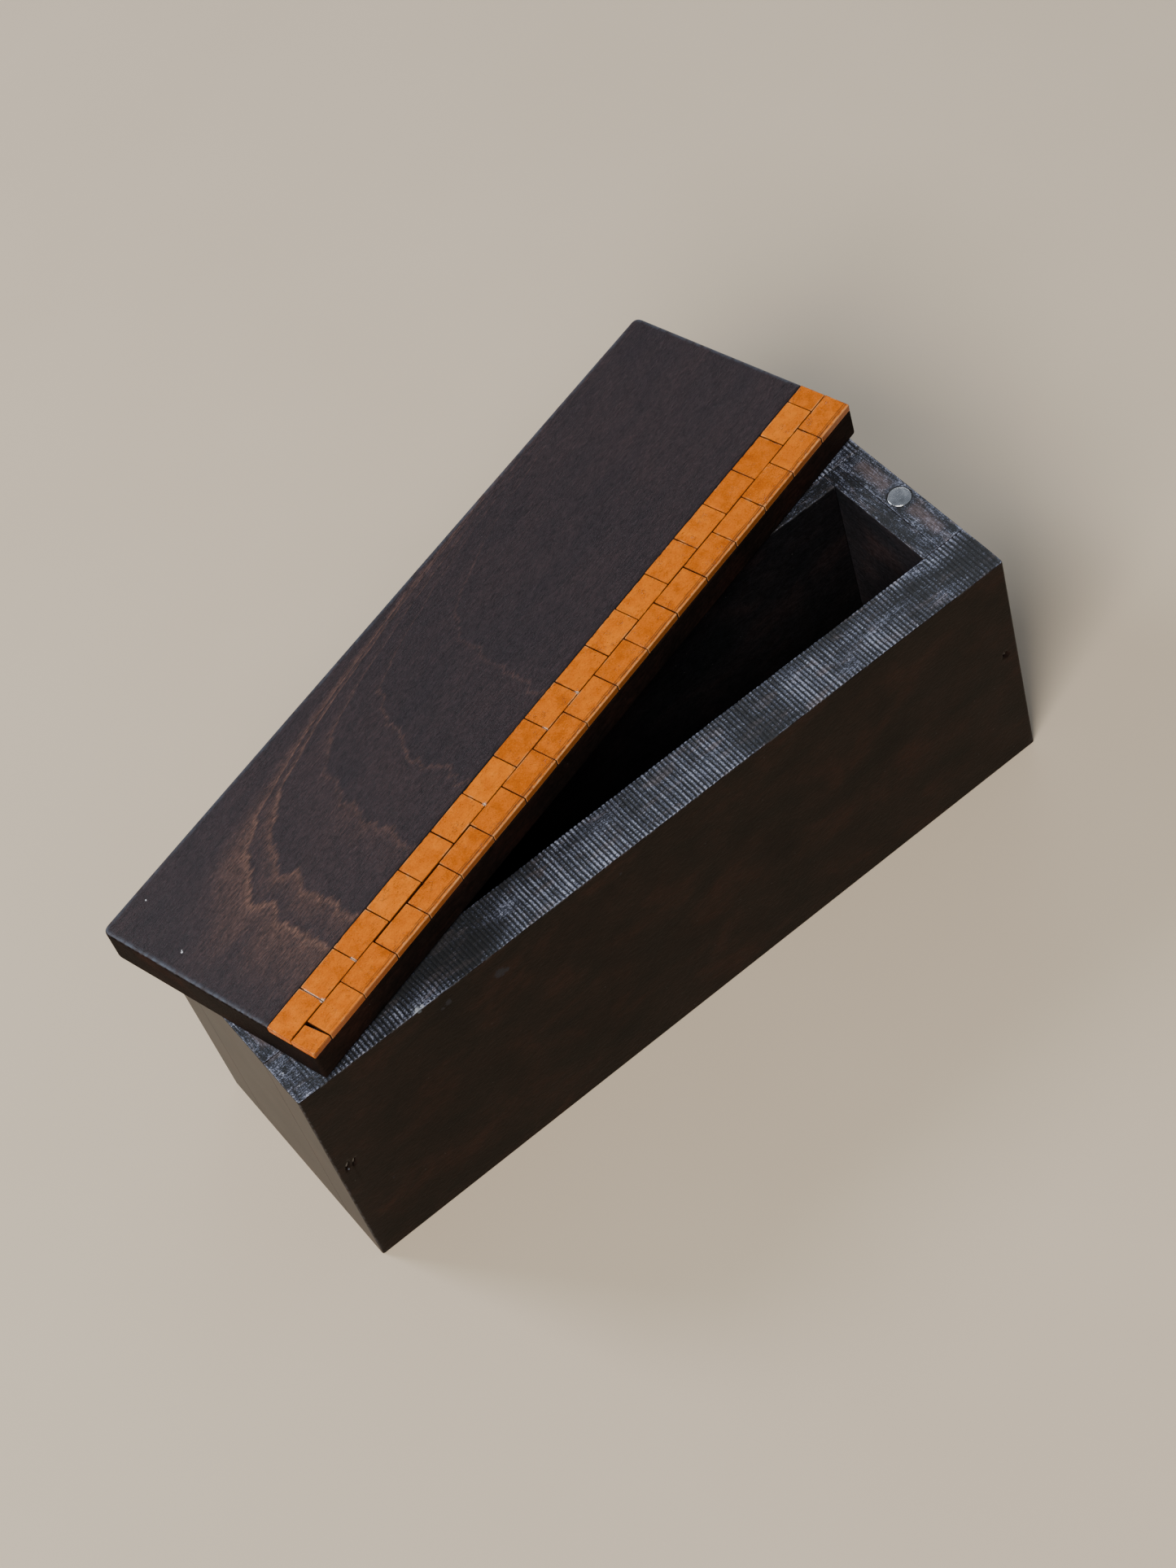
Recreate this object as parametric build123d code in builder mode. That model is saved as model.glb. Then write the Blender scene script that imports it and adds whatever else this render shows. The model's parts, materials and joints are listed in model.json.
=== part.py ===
from build123d import *
import math
import os

# A wooden puzzle box: a long, narrow box whose lid swings sideways on a pin hidden
# in the rim of one end wall, and is held shut by a pair of magnets at the other end.
#
# Millimetres, +Z up. The origin is the centre of the box's underside.
# +X runs from the pivot end to the magnet end, +Y from the brick side to the plain side.

# ---------------------------------------------------------------- driving dimensions
box_length = 170.0
box_width = 54.0
box_height = 60.0
long_wall_thickness = 11.7
end_wall_thickness = 6.3
liner_thickness = 3.8
base_thickness = 6.0
wall_edge_ease = 0.3

lid_length = 171.0
lid_width = 53.6
lid_thickness = 8.5
lid_gap = 0.3
lid_open_angle = 15.5
lid_plain_corner_radius = 1.6
lid_brick_corner_radius = 0.5
lid_edge_ease = 0.6

brick_strip_width = 11.7
brick_thickness = 1.6
brick_course_count = 17.5
brick_row_count = 2
brick_joint = 0.14
brick_edge_ease = 0.3

pin_diameter = 3.0
pin_running_clearance = 0.05
pin_in_lid = 5.0
pin_in_wall = 14.4
pin_end_space = 0.6
pin_end_ease = 0.4

magnet_diameter = 5.0
magnet_height = 3.0
magnet_edge_ease = 0.3

brad_diameter = 1.2
brad_head_diameter = 2.2
brad_head_height = 0.8
brad_length = 22.0
brad_sink = 0.6
brad_level = 33.0

# ---------------------------------------------------------------- derived places
half_length = box_length / 2
half_width = box_width / 2
inner_half_width = half_width - long_wall_thickness
inner_half_length = half_length - end_wall_thickness
end_wall_centre = half_length - end_wall_thickness / 2
lid_level = box_height + lid_gap
brick_bed_level = lid_thickness - brick_thickness
brick_pitch = lid_length / brick_course_count
brick_row_width = brick_strip_width / brick_row_count

# The lid is drawn as it lies when shut, with the pivot as its own origin, on a plane
# turned about the pivot by the angle at which the box stands open.
swing = math.radians(lid_open_angle)
lid_plane = Plane(
    origin=(-end_wall_centre, 0, lid_level),
    x_dir=(math.cos(swing), math.sin(swing), 0),
    z_dir=(0, 0, 1),
)
lid_middle = end_wall_centre
lid_pivot_edge = lid_middle - lid_length / 2
lid_brick_edge = -lid_width / 2
lid_magnet_reach = 2 * end_wall_centre

os.makedirs("parts", exist_ok=True)


def save(piece, name):
    """Label a finished piece and write it under its own name."""
    piece.part.label = name
    export_step(piece.part, f"parts/{name}.step")


def outer_face(side):
    """The outer face of a long wall: side is -1 by the bricks, +1 on the plain side.

    Its own x runs along the box, its own y runs up or down, and it looks outward.
    """
    return Plane(origin=(0, side * half_width, 0), x_dir=(1, 0, 0), z_dir=(0, side, 0))


def brad_spots(side):
    """Where the brads of one long wall are driven, in the plane of its outer face."""
    height = -side * brad_level
    return [(-end_wall_centre, height), (end_wall_centre, height)]


# ---------------------------------------------------------------- long walls
def make_long_wall(side):
    """One long side. It covers the ends of the end walls and is bored for its brads."""
    with BuildPart() as wall:
        with BuildSketch(Plane.XY):
            with Locations((0, side * (half_width - long_wall_thickness / 2))):
                Rectangle(box_length, long_wall_thickness)
        extrude(amount=box_height)
        upright_edges = wall.edges().filter_by(Axis.Z).group_by(Axis.Y)
        chamfer(upright_edges[0 if side < 0 else -1], wall_edge_ease)
        with BuildSketch(outer_face(side)):
            with Locations(*brad_spots(side)):
                Circle(brad_head_diameter / 2)
        extrude(amount=-(brad_sink + brad_head_height), mode=Mode.SUBTRACT)
        with BuildSketch(outer_face(side)):
            with Locations(*brad_spots(side)):
                Circle(brad_diameter / 2)
        extrude(amount=-long_wall_thickness, mode=Mode.SUBTRACT)
    return wall


# ---------------------------------------------------------------- end walls
def make_end_wall(end, hole_diameter, hole_depth):
    """One end wall, between the long walls, with one hole in the middle of its rim."""
    brad_reach = brad_sink + brad_length
    with BuildPart() as wall:
        with BuildSketch(Plane.XY):
            with Locations((end * end_wall_centre, 0)):
                Rectangle(end_wall_thickness, 2 * inner_half_width)
        extrude(amount=box_height)
        with BuildSketch(Plane.XY.offset(box_height)):
            with Locations((end * end_wall_centre, 0)):
                Circle(hole_diameter / 2)
        extrude(amount=-hole_depth, mode=Mode.SUBTRACT)
        for side in (-1, 1):
            with BuildSketch(outer_face(side)):
                with Locations((end * end_wall_centre, -side * brad_level)):
                    Circle(brad_diameter / 2)
            extrude(amount=-brad_reach, mode=Mode.SUBTRACT)
    return wall


# ---------------------------------------------------------------- base and liners
def make_board(centre_x, centre_y, size_x, size_y, low, high):
    """A plain board standing square to the box, from one level to another."""
    with BuildPart() as board:
        with BuildSketch(Plane.XY.offset(low)):
            with Locations((centre_x, centre_y)):
                Rectangle(size_x, size_y)
        extrude(amount=high - low)
    return board


# ---------------------------------------------------------------- brads
def make_brads():
    """The four brads, one in each corner, each a headed wire driven through a long wall."""
    with BuildPart() as brads:
        for side in (-1, 1):
            head_plane = outer_face(side).offset(-brad_sink)
            with BuildSketch(head_plane):
                with Locations(*brad_spots(side)):
                    Circle(brad_head_diameter / 2)
            extrude(amount=-brad_head_height)
            with BuildSketch(head_plane):
                with Locations(*brad_spots(side)):
                    Circle(brad_diameter / 2)
            extrude(amount=-brad_length)
    return brads


# ---------------------------------------------------------------- magnets
def make_magnet(plane, centre, amount):
    """A disc magnet whose face lies in a plane; amount is its height along the normal."""
    with BuildPart() as magnet:
        with BuildSketch(plane):
            with Locations(centre):
                Circle(magnet_diameter / 2)
        extrude(amount=amount)
        chamfer(magnet.edges().filter_by(GeomType.CIRCLE), magnet_edge_ease)
    return magnet


# ---------------------------------------------------------------- lid
def make_lid_panel():
    """The lid: rounded on its plain side, stepped down along its brick side."""
    with BuildPart() as panel:
        with BuildSketch(lid_plane):
            with Locations((lid_middle, 0)):
                Rectangle(lid_length, lid_width)
            fillet(vertices().group_by(Axis.Y)[0], lid_brick_corner_radius)
            fillet(vertices().group_by(Axis.Y)[-1], lid_plain_corner_radius)
        extrude(amount=lid_thickness)
        fillet(panel.faces().sort_by(Axis.Z)[-1].edges(), lid_edge_ease)
        # the step that the bricks are laid in
        with BuildSketch(lid_plane.offset(brick_bed_level)):
            with Locations((lid_middle, lid_brick_edge + brick_strip_width / 2)):
                Rectangle(lid_length, brick_strip_width)
        extrude(amount=brick_thickness, mode=Mode.SUBTRACT)
        # a blind hole for the pin and a pocket for the magnet, both from below
        with BuildSketch(lid_plane):
            Circle(pin_diameter / 2)
        extrude(amount=pin_in_lid, mode=Mode.SUBTRACT)
        with BuildSketch(lid_plane):
            with Locations((lid_magnet_reach, 0)):
                Circle(magnet_diameter / 2)
        extrude(amount=magnet_height, mode=Mode.SUBTRACT)
    return panel


def make_pivot_pin():
    """The steel pin: tight in the lid, free to turn in the end wall."""
    with BuildPart() as pin:
        with BuildSketch(lid_plane.offset(pin_in_lid)):
            Circle(pin_diameter / 2)
        extrude(amount=-(pin_in_lid + lid_gap + pin_in_wall))
        chamfer(pin.edges().filter_by(GeomType.CIRCLE), pin_end_ease)
    return pin


# ---------------------------------------------------------------- bricks
def make_brick(row, start, length):
    """One little brick, in its own cell of the strip; rows count inward from the edge."""
    middle = lid_pivot_edge + start + length / 2
    across = lid_brick_edge + (row + 0.5) * brick_row_width
    with BuildPart() as brick:
        with BuildSketch(lid_plane.offset(brick_bed_level)):
            with Locations((middle, across)):
                Rectangle(length - brick_joint, brick_row_width - brick_joint)
        extrude(amount=brick_thickness)
        chamfer(brick.faces().sort_by(Axis.Z)[-1].edges(), brick_edge_ease)
    return brick


def brick_row(starts_with_half):
    """Start and length of each brick in a row: whole bricks and one half brick."""
    half = brick_pitch / 2
    spans = []
    start = 0.0
    if starts_with_half:
        spans.append((start, half))
        start = half
    while start + brick_pitch < lid_length + half / 2:
        spans.append((start, brick_pitch))
        start += brick_pitch
    if not starts_with_half:
        spans.append((start, half))
    return spans


# ---------------------------------------------------------------- the box
save(make_long_wall(-1), "brick_side_wall")
save(make_long_wall(1), "plain_side_wall")

pin_bore_diameter = pin_diameter + 2 * pin_running_clearance
save(make_end_wall(-1, pin_bore_diameter, pin_in_wall + pin_end_space), "pivot_end_wall")
save(make_end_wall(1, magnet_diameter, magnet_height), "magnet_end_wall")

base_panel = make_board(
    0, 0, 2 * inner_half_length, 2 * inner_half_width, 0, base_thickness
)
save(base_panel, "base_panel")

end_liner_centre = inner_half_length - liner_thickness / 2
for end, name in ((-1, "pivot_end_liner"), (1, "magnet_end_liner")):
    end_liner = make_board(
        end * end_liner_centre, 0, liner_thickness, 2 * inner_half_width,
        base_thickness, box_height,
    )
    save(end_liner, name)

side_liner_centre = inner_half_width - liner_thickness / 2
side_liner_length = 2 * (inner_half_length - liner_thickness)
side_liner = make_board(
    0, side_liner_centre, side_liner_length, liner_thickness, base_thickness, box_height
)
save(side_liner, "plain_side_liner")

save(make_brads(), "wall_brads")
save(
    make_magnet(Plane.XY.offset(box_height), (end_wall_centre, 0), -magnet_height),
    "box_magnet",
)

# ---------------------------------------------------------------- the lid and its bricks
save(make_lid_panel(), "lid_panel")
save(make_pivot_pin(), "pivot_pin")
save(make_magnet(lid_plane, (lid_magnet_reach, 0), magnet_height), "lid_magnet")

for row, row_name in ((0, "outer"), (1, "inner")):
    for number, (start, length) in enumerate(brick_row(starts_with_half=row == 0), start=1):
        save(make_brick(row, start, length), f"brick_{row_name}_{number:02d}")
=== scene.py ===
"""A wooden puzzle box on a pale studio floor.

The box is long and narrow. Its lid swings sideways on a pin hidden in the rim of one end
wall, and a pair of magnets at the other end holds it shut. Two rows of little bricks are
glued along one edge of the lid, and that side's wall shows a rim ribbed by the saw.

Everything is in metres. +X runs from the pivot end to the magnet end, and +Y from the
brick side to the plain side. The lid's pieces are drawn as the lid lies when shut, with
the pivot as their origin, and are then turned to where the CAD model holds the lid open.
"""
import json
import math

import bpy
import numpy as np
from mathutils import Matrix, Quaternion, Vector


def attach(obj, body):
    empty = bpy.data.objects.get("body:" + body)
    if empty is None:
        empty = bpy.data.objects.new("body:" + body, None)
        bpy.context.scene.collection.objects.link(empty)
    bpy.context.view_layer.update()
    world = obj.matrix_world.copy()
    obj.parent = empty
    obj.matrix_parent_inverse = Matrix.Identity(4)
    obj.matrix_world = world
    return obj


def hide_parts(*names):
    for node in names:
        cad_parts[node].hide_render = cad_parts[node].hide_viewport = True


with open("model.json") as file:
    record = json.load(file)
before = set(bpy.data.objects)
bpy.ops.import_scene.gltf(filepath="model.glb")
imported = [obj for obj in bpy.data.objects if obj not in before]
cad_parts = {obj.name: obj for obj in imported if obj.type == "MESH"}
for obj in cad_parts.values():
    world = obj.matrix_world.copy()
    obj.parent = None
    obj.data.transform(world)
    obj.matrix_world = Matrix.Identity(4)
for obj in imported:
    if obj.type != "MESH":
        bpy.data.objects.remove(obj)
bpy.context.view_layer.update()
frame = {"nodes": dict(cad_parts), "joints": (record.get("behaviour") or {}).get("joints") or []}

MM = 0.001
BOX_BODY = "box"
LID_BODY = "lid"

# ---------------- places taken from the frame
swing = next(joint for joint in frame["joints"] if joint["name"] == "lid_swing")
lid_open = math.radians(-swing["range_deg"][0])
BOX_PLACE = Matrix.Identity(4)


def box_in(node, place=BOX_PLACE):
    """Lowest and highest corner of a CAD node, measured along the axes of a placed frame."""
    back = place.inverted()
    points = np.array([back @ vertex.co for vertex in frame["nodes"][node].data.vertices])
    return points.min(axis=0), points.max(axis=0)


rim_level = box_in("pivot_end_wall")[1][2]
pivot = Vector(swing["pos_m"])
lid_turn = Matrix.Rotation(lid_open, 4, "Z")
lid_underside = box_in("lid_panel")[0][2]
LID_PLACE = Matrix.Translation((pivot.x, pivot.y, lid_underside)) @ lid_turn
lid_low, lid_high = box_in("lid_panel", LID_PLACE)
brick_low, brick_high = box_in("brick_inner_01", LID_PLACE)


# ---------------- seeded noise for shapes
LINE_KNOTS = 4096
SHEET_KNOTS = 512


def smooth_step(t):
    return t * t * (3 - 2 * t)


def wave(x, spacing, seed):
    """Smooth noise along a line, between -1 and 1, that changes over one spacing."""
    knots = np.random.default_rng(seed).uniform(-1, 1, LINE_KNOTS)
    place = x / spacing + LINE_KNOTS / 4
    whole = np.floor(place).astype(int)
    part = smooth_step(place - whole)
    return knots[whole % LINE_KNOTS] * (1 - part) + knots[(whole + 1) % LINE_KNOTS] * part


def patches(x, y, spacing_x, spacing_y, seed):
    """Smooth noise over a surface, between -1 and 1."""
    knots = np.random.default_rng(seed).uniform(-1, 1, (SHEET_KNOTS, SHEET_KNOTS))
    across, along = x / spacing_x + SHEET_KNOTS / 4, y / spacing_y + SHEET_KNOTS / 4
    i, j = np.floor(across).astype(int), np.floor(along).astype(int)
    s, t = smooth_step(across - i), smooth_step(along - j)
    i, j = i % (SHEET_KNOTS - 1), j % (SHEET_KNOTS - 1)
    near = knots[i, j] * (1 - s) + knots[i + 1, j] * s
    far = knots[i, j + 1] * (1 - s) + knots[i + 1, j + 1] * s
    return near * (1 - t) + far * t


# ---------------- boards with softened edges
BOARD_EDGE = 0.25 * MM
TIGHT_CORNER = 0.08 * MM
LEAST_STEP = 0.01 * MM
EIGHTH_TURN_STEPS = 2
# how far from a rounded edge the mesh is divided, as shares of the radius
BESIDE_ROUNDING = 1.3
ROUNDING_MARKS = [BESIDE_ROUNDING] + [
    1 - math.tan(math.pi / 4 * step / EIGHTH_TURN_STEPS)
    for step in range(EIGHTH_TURN_STEPS + 1)
]


def marks(low, high, spacing, radii, extra=()):
    """Where a board's mesh is divided along one axis: evenly, and closely at both ends."""
    margin = max(radii) * BESIDE_ROUNDING
    count = max(int(round((high - low - 2 * margin) / spacing)), 1)
    places = list(np.linspace(low + margin, high - margin, count + 1))
    for radius in radii:
        for share in ROUNDING_MARKS:
            places += [low + radius * share, high - radius * share]
    places = sorted(places + list(extra))
    kept = [places[0]]
    for place in places[1:]:
        if place - kept[-1] > LEAST_STEP:
            kept.append(place)
    kept[-1] = high
    return np.array(kept)


def sheet_quads(sheet, turned_over):
    """Quads over a two-way sheet of vertex numbers."""
    quads = np.stack(
        [sheet[:-1, :-1], sheet[1:, :-1], sheet[1:, 1:], sheet[:-1, 1:]], axis=-1
    ).reshape(-1, 4)
    return quads[:, ::-1] if turned_over else quads


def block_grid(xs, ys, zs):
    """Points of a closed block divided at the given marks, and its quads: top, ends, others."""
    on_skin = np.zeros((len(xs), len(ys), len(zs)), bool)
    on_skin[[0, -1], :, :] = True
    on_skin[:, [0, -1], :] = True
    on_skin[:, :, [0, -1]] = True
    number = np.full(on_skin.shape, -1)
    number[on_skin] = np.arange(on_skin.sum())
    i, j, k = np.nonzero(on_skin)
    points = np.stack([xs[i], ys[j], zs[k]], axis=-1)
    top = sheet_quads(number[:, :, -1], False)
    ends = [sheet_quads(number[-1], False), sheet_quads(number[0], True)]
    others = [sheet_quads(number[:, :, 0], True), sheet_quads(number[:, -1], True),
              sheet_quads(number[:, 0], False)]
    return points, (top, np.concatenate(ends), np.concatenate(others))


def soften(points, low, high, corner_radii, edge_radius):
    """Round a block's four upright corners, and then its top and bottom edges.

    corner_radii gives one radius for each corner, as [[low x low y, low x high y],
    [high x low y, high x high y]]. Also returns each point's distance to the nearest edge.
    """
    middle, half = (low + high) / 2, (high - low) / 2
    offset = points - middle
    sign = np.where(offset < 0, -1.0, 1.0)
    away = half - np.abs(offset)
    edge_distance = np.sort(away, axis=1)[:, 1]
    radius = np.array(corner_radii)[(sign[:, 0] > 0).astype(int), (sign[:, 1] > 0).astype(int)]

    # upright corners: squares in plan become quarter discs
    reach = np.clip(radius[:, None] - away[:, :2], 0, None)
    length = np.maximum(np.linalg.norm(reach, axis=1), 1e-12)
    shrink = np.max(reach, axis=1) / length
    plan_move = reach * (shrink - 1)[:, None]
    outward = np.where(
        (reach.min(axis=1) > 0)[:, None],
        reach / length[:, None],
        (away[:, :2] <= away[:, :2].min(axis=1)[:, None]).astype(float),
    )
    outward /= np.maximum(np.linalg.norm(outward, axis=1), 1e-12)[:, None]
    inset = away[:, :2].min(axis=1)

    # top and bottom edges: the same in section
    section = np.clip(edge_radius - np.stack([inset, away[:, 2]], axis=1), 0, None)
    both = section.min(axis=1) > 0
    length = np.maximum(np.linalg.norm(section, axis=1), 1e-12)
    rounded = section * (section.max(axis=1) / length)[:, None]
    section_move = np.where(both[:, None], rounded - section, 0)
    offset[:, :2] += sign[:, :2] * (plan_move + outward * section_move[:, :1])
    offset[:, 2] += sign[:, 2] * section_move[:, 1]
    return middle + offset, edge_distance


def placed(points, place):
    """Points given along the axes of a placed frame, as points of the whole object's frame."""
    turn = np.array(place.to_3x3())
    return points @ turn.T + np.array(place.translation)


def add(name, data):
    """A new object in the scene."""
    made = bpy.data.objects.new(name, data)
    bpy.context.scene.collection.objects.link(made)
    return made


def build(name, points, sheets, numbers, materials, attributes, place):
    """A mesh object from a block's points and quads, with float attributes on its points.

    numbers says which material the top, the two ends and the other faces have.
    """
    faces = np.concatenate(sheets)
    face_slots = np.repeat(numbers, [len(sheet) for sheet in sheets])
    mesh = bpy.data.meshes.new(name)
    mesh.from_pydata(placed(points, place).tolist(), [], faces.tolist())
    mesh.update()
    for attribute, values in attributes.items():
        layer = mesh.attributes.new(attribute, "FLOAT", "POINT")
        layer.data.foreach_set("value", np.broadcast_to(values, len(points)).astype(np.float32))
    for material in materials:
        mesh.materials.append(material)
    mesh.polygons.foreach_set("material_index", np.asarray(face_slots, np.int32))
    mesh.polygons.foreach_set("use_smooth", np.ones(len(faces), bool))
    return add(name, mesh)


def stand_for(piece, body, node):
    """Say which body a piece moves with, and hide the CAD node it shows."""
    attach(piece, body)
    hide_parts(node)
    return piece


# ---------------- material building
class Recipe:
    """One material's nodes. A socket given as an input is linked, a plain value is set."""

    def __init__(self, name, place=BOX_PLACE):
        self.material = bpy.data.materials.new(name)
        self.material.use_nodes = True
        self.nodes = self.material.node_tree.nodes
        self.links = self.material.node_tree.links
        self.shader = self.nodes["Principled BSDF"]
        inputs = {"Vector": self.node("ShaderNodeTexCoord").outputs["Object"],
                  "Location": place.translation, "Rotation": place.to_euler()}
        self.place = self.node("ShaderNodeMapping", inputs, vector_type="TEXTURE").outputs[0]

    def put(self, socket, value):
        if isinstance(value, bpy.types.NodeSocket):
            self.links.new(value, socket)
        elif value is not None:
            socket.default_value = value

    def node(self, kind, inputs=None, **settings):
        made = self.nodes.new(kind)
        for setting, value in settings.items():
            setattr(made, setting, value)
        for key, value in (inputs or {}).items():
            self.put(made.inputs[key], value)
        return made

    def stretched(self, scales, turn=0.0):
        """The object's own coordinates, in millimetres, divided by a grain size each way."""
        scale = tuple(1 / (size * MM) for size in scales)
        inputs = {"Vector": self.place, "Scale": scale, "Rotation": (0, 0, turn)}
        return self.node("ShaderNodeMapping", inputs).outputs["Vector"]

    def noise(self, scales, detail=2.0, roughness=0.5, distortion=0.0, turn=0.0):
        inputs = {"Vector": self.stretched(scales, turn), "Scale": 1.0, "Detail": detail,
                  "Roughness": roughness, "Distortion": distortion}
        return self.node("ShaderNodeTexNoise", inputs).outputs["Fac"]

    def cells(self, scales):
        inputs = {"Vector": self.stretched(scales), "Scale": 1.0}
        return self.node("ShaderNodeTexVoronoi", inputs).outputs["Distance"]

    def attribute(self, name):
        return self.node("ShaderNodeAttribute", attribute_name=name).outputs["Fac"]

    def calc(self, operation, first, second=None):
        made = self.node("ShaderNodeMath", operation=operation)
        self.put(made.inputs[0], first)
        self.put(made.inputs[1], second)
        return made.outputs["Value"]

    def product(self, first, *others):
        for other in others:
            first = self.calc("MULTIPLY", first, other)
        return first

    def line_at(self, value, centre, outer, inner):
        """A line where a value passes its centre: 1 up to inner away from it, 0 past outer."""
        aside = self.calc("ABSOLUTE", self.calc("SUBTRACT", value, centre))
        return self.remap(aside, outer, inner)

    def remap(self, value, low, high, to_low=0.0, to_high=1.0):
        """One range stretched over another. It falls where low is more than high."""
        inputs = {"Value": value, "From Min": low, "From Max": high, "To Min": to_low,
                  "To Max": to_high}
        return self.node("ShaderNodeMapRange", inputs).outputs["Result"]

    def ramp(self, value, stops):
        """A colour along a scale from 0 to 1: stops are pairs of place and colour."""
        made = self.node("ShaderNodeValToRGB", {"Fac": value})
        elements = made.color_ramp.elements
        while len(elements) < len(stops):
            elements.new(0.5)
        for element, (place, colour) in zip(elements, stops):
            element.position = place
            element.color = (*colour, 1)
        return made.outputs["Color"]

    def blend(self, share, first, second, kind="MIX"):
        made = self.node("ShaderNodeMix", data_type="RGBA", blend_type=kind)
        self.put(made.inputs["Factor"], share)
        for key, value in (("A", first), ("B", second)):
            socket = next(s for s in made.inputs if s.name == key and s.type == "RGBA")
            self.put(socket, (*value, 1) if isinstance(value, tuple) else value)
        return next(s for s in made.outputs if s.type == "RGBA")

    def bump(self, height, depth, under=None):
        """Relief of a given depth, in millimetres, on top of another relief."""
        inputs = {"Height": height, "Distance": depth * MM, "Normal": under}
        return self.node("ShaderNodeBump", inputs).outputs["Normal"]

    def finish(self, colour, roughness, normal=None, **uniform):
        self.put(self.shader.inputs["Base Color"], colour)
        self.put(self.shader.inputs["Roughness"], roughness)
        self.put(self.shader.inputs["Normal"], normal)
        for key, value in uniform.items():
            self.shader.inputs[key.replace("_", " ")].default_value = value
        return self.material


# ---------------- wood
ALONG_X = (1, 0, 0)
ALONG_Y = (0, 1, 0)


def fibres(length, width, along):
    """Sizes of a grain feature that is long one way and thin the other two ways."""
    return tuple(length if part else width for part in along)


def scaled(recipe, colour, factor):
    """A colour made lighter or darker by a plain number."""
    grey = recipe.node("ShaderNodeCombineXYZ", {"X": factor, "Y": factor, "Z": factor})
    return recipe.blend(1.0, colour, grey.outputs["Vector"], "MULTIPLY")


def spots(recipe, places, colour, base):
    """Small ragged marks at chosen places: each is a point in millimetres and its radius."""
    ragged = recipe.remap(recipe.noise((0.5, 0.5, 0.5), detail=3), 0.25, 0.75, 0.45, 1.25)
    for x, y, z, radius in places:
        inputs = {0: recipe.place, 1: (x * MM, y * MM, z * MM)}
        away = recipe.node("ShaderNodeVectorMath", inputs, operation="DISTANCE").outputs["Value"]
        reach = recipe.calc("MULTIPLY", ragged, radius * MM)
        mask = recipe.remap(recipe.calc("DIVIDE", away, reach), 1.1, 0.75)
        base = recipe.blend(mask, base, colour)
    return base


# painted glints, light and bluish, at the burr chipped from the rim and around the near nail: x, y, z and
# radius in mm
NAIL_AND_BURR_GLINTS = ((-57.2, -27, 59.5, 0.55), (-82.75, -27, 32.1, 0.26), (-81.3, -27, 32.2, 0.24),
              (-81.0, -27, 33.9, 0.22), (-82.2, -27, 34.0, 0.18))


def stained_wood(name, along, shine, rough_range=(0.36, 0.44), relief_depth=1.0, scuffs=(),
                 place=BOX_PLACE, lift=1.0, cast=(1.0, 1.0, 1.0)):
    """Nearly black stain, satin, with reddish mottling and fine open grain.

    shine is the strength of its reflections, lift makes the stain lighter and cast
    multiplies its colour.
    """
    wood = Recipe(name, place)
    mottle = wood.noise(fibres(16, 9, along), detail=4, roughness=0.6, distortion=0.5)
    leather = wood.noise(fibres(1.2, 0.7, along), detail=4, roughness=0.68, distortion=0.5)
    grain = wood.noise(fibres(3.2, 0.5, along), detail=4, roughness=0.62)
    base = wood.ramp(wood.remap(mottle, 0.32, 0.7), [
        (0.0, (0.0040, 0.0030, 0.0026)),
        (0.55, (0.0078, 0.0044, 0.0036)),
        (1.0, (0.0150, 0.0062, 0.0045)),
    ])
    base = scaled(wood, base, wood.remap(grain, 0.33, 0.7, 0.74 * lift, 1.3 * lift))
    base = scaled(wood, base, wood.remap(leather, 0.3, 0.7, 0.62, 1.45))
    base = wood.blend(1.0, base, cast, "MULTIPLY")
    worn = wood.remap(wood.attribute("edge_distance"), 0.45 * MM, 0.0)
    rub = wood.remap(wood.noise(fibres(1.8, 0.7, along), detail=4), 0.44, 0.62)
    base = wood.blend(wood.product(worn, rub), base, (0.05, 0.048, 0.052))
    dust = wood.remap(wood.cells((3.4, 3.4, 3.4)), 0.04, 0.02)
    base = wood.blend(wood.product(dust, 0.5), base, (0.10, 0.095, 0.095))
    base = spots(wood, scuffs, (0.0165, 0.0160, 0.0195), base)
    # painted glints at the burr and around the nail mark
    base = spots(wood, NAIL_AND_BURR_GLINTS, (0.070, 0.080, 0.095), base)
    rough = wood.remap(wood.noise((14, 14, 14), detail=2), 0.3, 0.7, *rough_range)
    unevenness = wood.remap(leather, 0.3, 0.7, -0.03 * relief_depth, 0.04 * relief_depth)
    rough = wood.calc("ADD", rough, unevenness)
    relief = wood.bump(leather, 0.06 * relief_depth)
    relief = wood.bump(grain, 0.02 * relief_depth, relief)
    relief = wood.bump(wood.noise((0.3, 0.3, 0.3), detail=2), 0.006 * relief_depth, relief)
    return wood.finish(base, rough, relief, Specular_IOR_Level=shine, Specular_Tint=(1.0, 0.87, 0.72, 1.0))


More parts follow.
